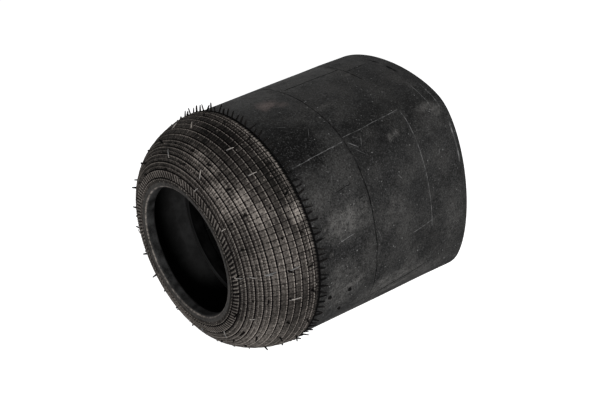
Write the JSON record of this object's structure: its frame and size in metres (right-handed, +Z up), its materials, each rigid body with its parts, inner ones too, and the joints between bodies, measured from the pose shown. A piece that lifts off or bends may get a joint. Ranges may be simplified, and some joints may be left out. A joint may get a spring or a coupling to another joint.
{
  "type": "air suspension spring bellows",
  "caption": "Rolling-lobe rubber bellows of an air suspension spring: net-moulded shoulder, wire-cored bead seats, cord plies, and a sleeve that folds back inside itself.",
  "frame": {"origin": "centre of the upper bead seat, in the plane of its wire ring", "axes": "+X along the sleeve from the upper bead to the fold, +Z up as the bellows lies on its side"},
  "size_m": [0.3104, 0.2622, 0.2571],
  "materials": {
    "shoulder_rubber": "matte moulded rubber with fine rings and ribs, dusty brown-grey where lit",
    "sleeve_rubber": "smooth matte black rubber with wrap lines and dust",
    "chafer_rubber": "rubberised fabric wear strip, satin",
    "liner_rubber": "smooth satin black rubber",
    "filler_rubber": "hard black rubber",
    "cord_ply": "rubberised cord fabric",
    "bead_wire": "bronze-coated steel wire"
  },
  "bodies": {
    "upper_end": {"upper_shoulder_cover": "shoulder_rubber", "fringe_whiskers": "shoulder_rubber", "resting_whiskers": "shoulder_rubber", "upper_bead_chafer": "chafer_rubber", "upper_bead_core": "bead_wire", "upper_bead_filler": "filler_rubber", "upper_ply_outer": "cord_ply", "upper_ply_inner": "cord_ply", "upper_liner": "liner_rubber", "sleeve_cover": "sleeve_rubber", "sleeve_ply_outer": "cord_ply", "sleeve_ply_inner": "cord_ply", "sleeve_liner": "liner_rubber"},
    "rolling_lobe": {"lobe_cover": "sleeve_rubber", "lobe_ply_outer": "cord_ply", "lobe_ply_inner": "cord_ply", "lobe_liner": "liner_rubber"},
    "lower_end": {"inner_sleeve_cover": "sleeve_rubber", "inner_sleeve_ply_outer": "cord_ply", "inner_sleeve_ply_inner": "cord_ply", "inner_sleeve_liner": "liner_rubber", "lower_shoulder_cover": "sleeve_rubber", "lower_ply_outer": "cord_ply", "lower_ply_inner": "cord_ply", "lower_liner": "liner_rubber", "lower_bead_chafer": "chafer_rubber", "lower_bead_core": "bead_wire", "lower_bead_filler": "filler_rubber"}
  },
  "joints": [
    {"name": "lobe_roll", "type": "slide", "parent": "upper_end", "child": "rolling_lobe", "axis": [1, 0, 0], "range_m": [-0.015, 0.035], "deforming": ["sleeve_cover", "sleeve_ply_outer", "sleeve_ply_inner", "sleeve_liner"]},
    {"name": "lower_end_travel", "type": "slide", "parent": "rolling_lobe", "child": "lower_end", "axis": [1, 0, 0], "range_m": [-0.015, 0.035], "deforming": ["inner_sleeve_cover", "inner_sleeve_ply_outer", "inner_sleeve_ply_inner", "inner_sleeve_liner"]}
  ],
  "couplings": [
    {"joint": "lower_end_travel", "follows": "lobe_roll", "ratio": 1}
  ]
}
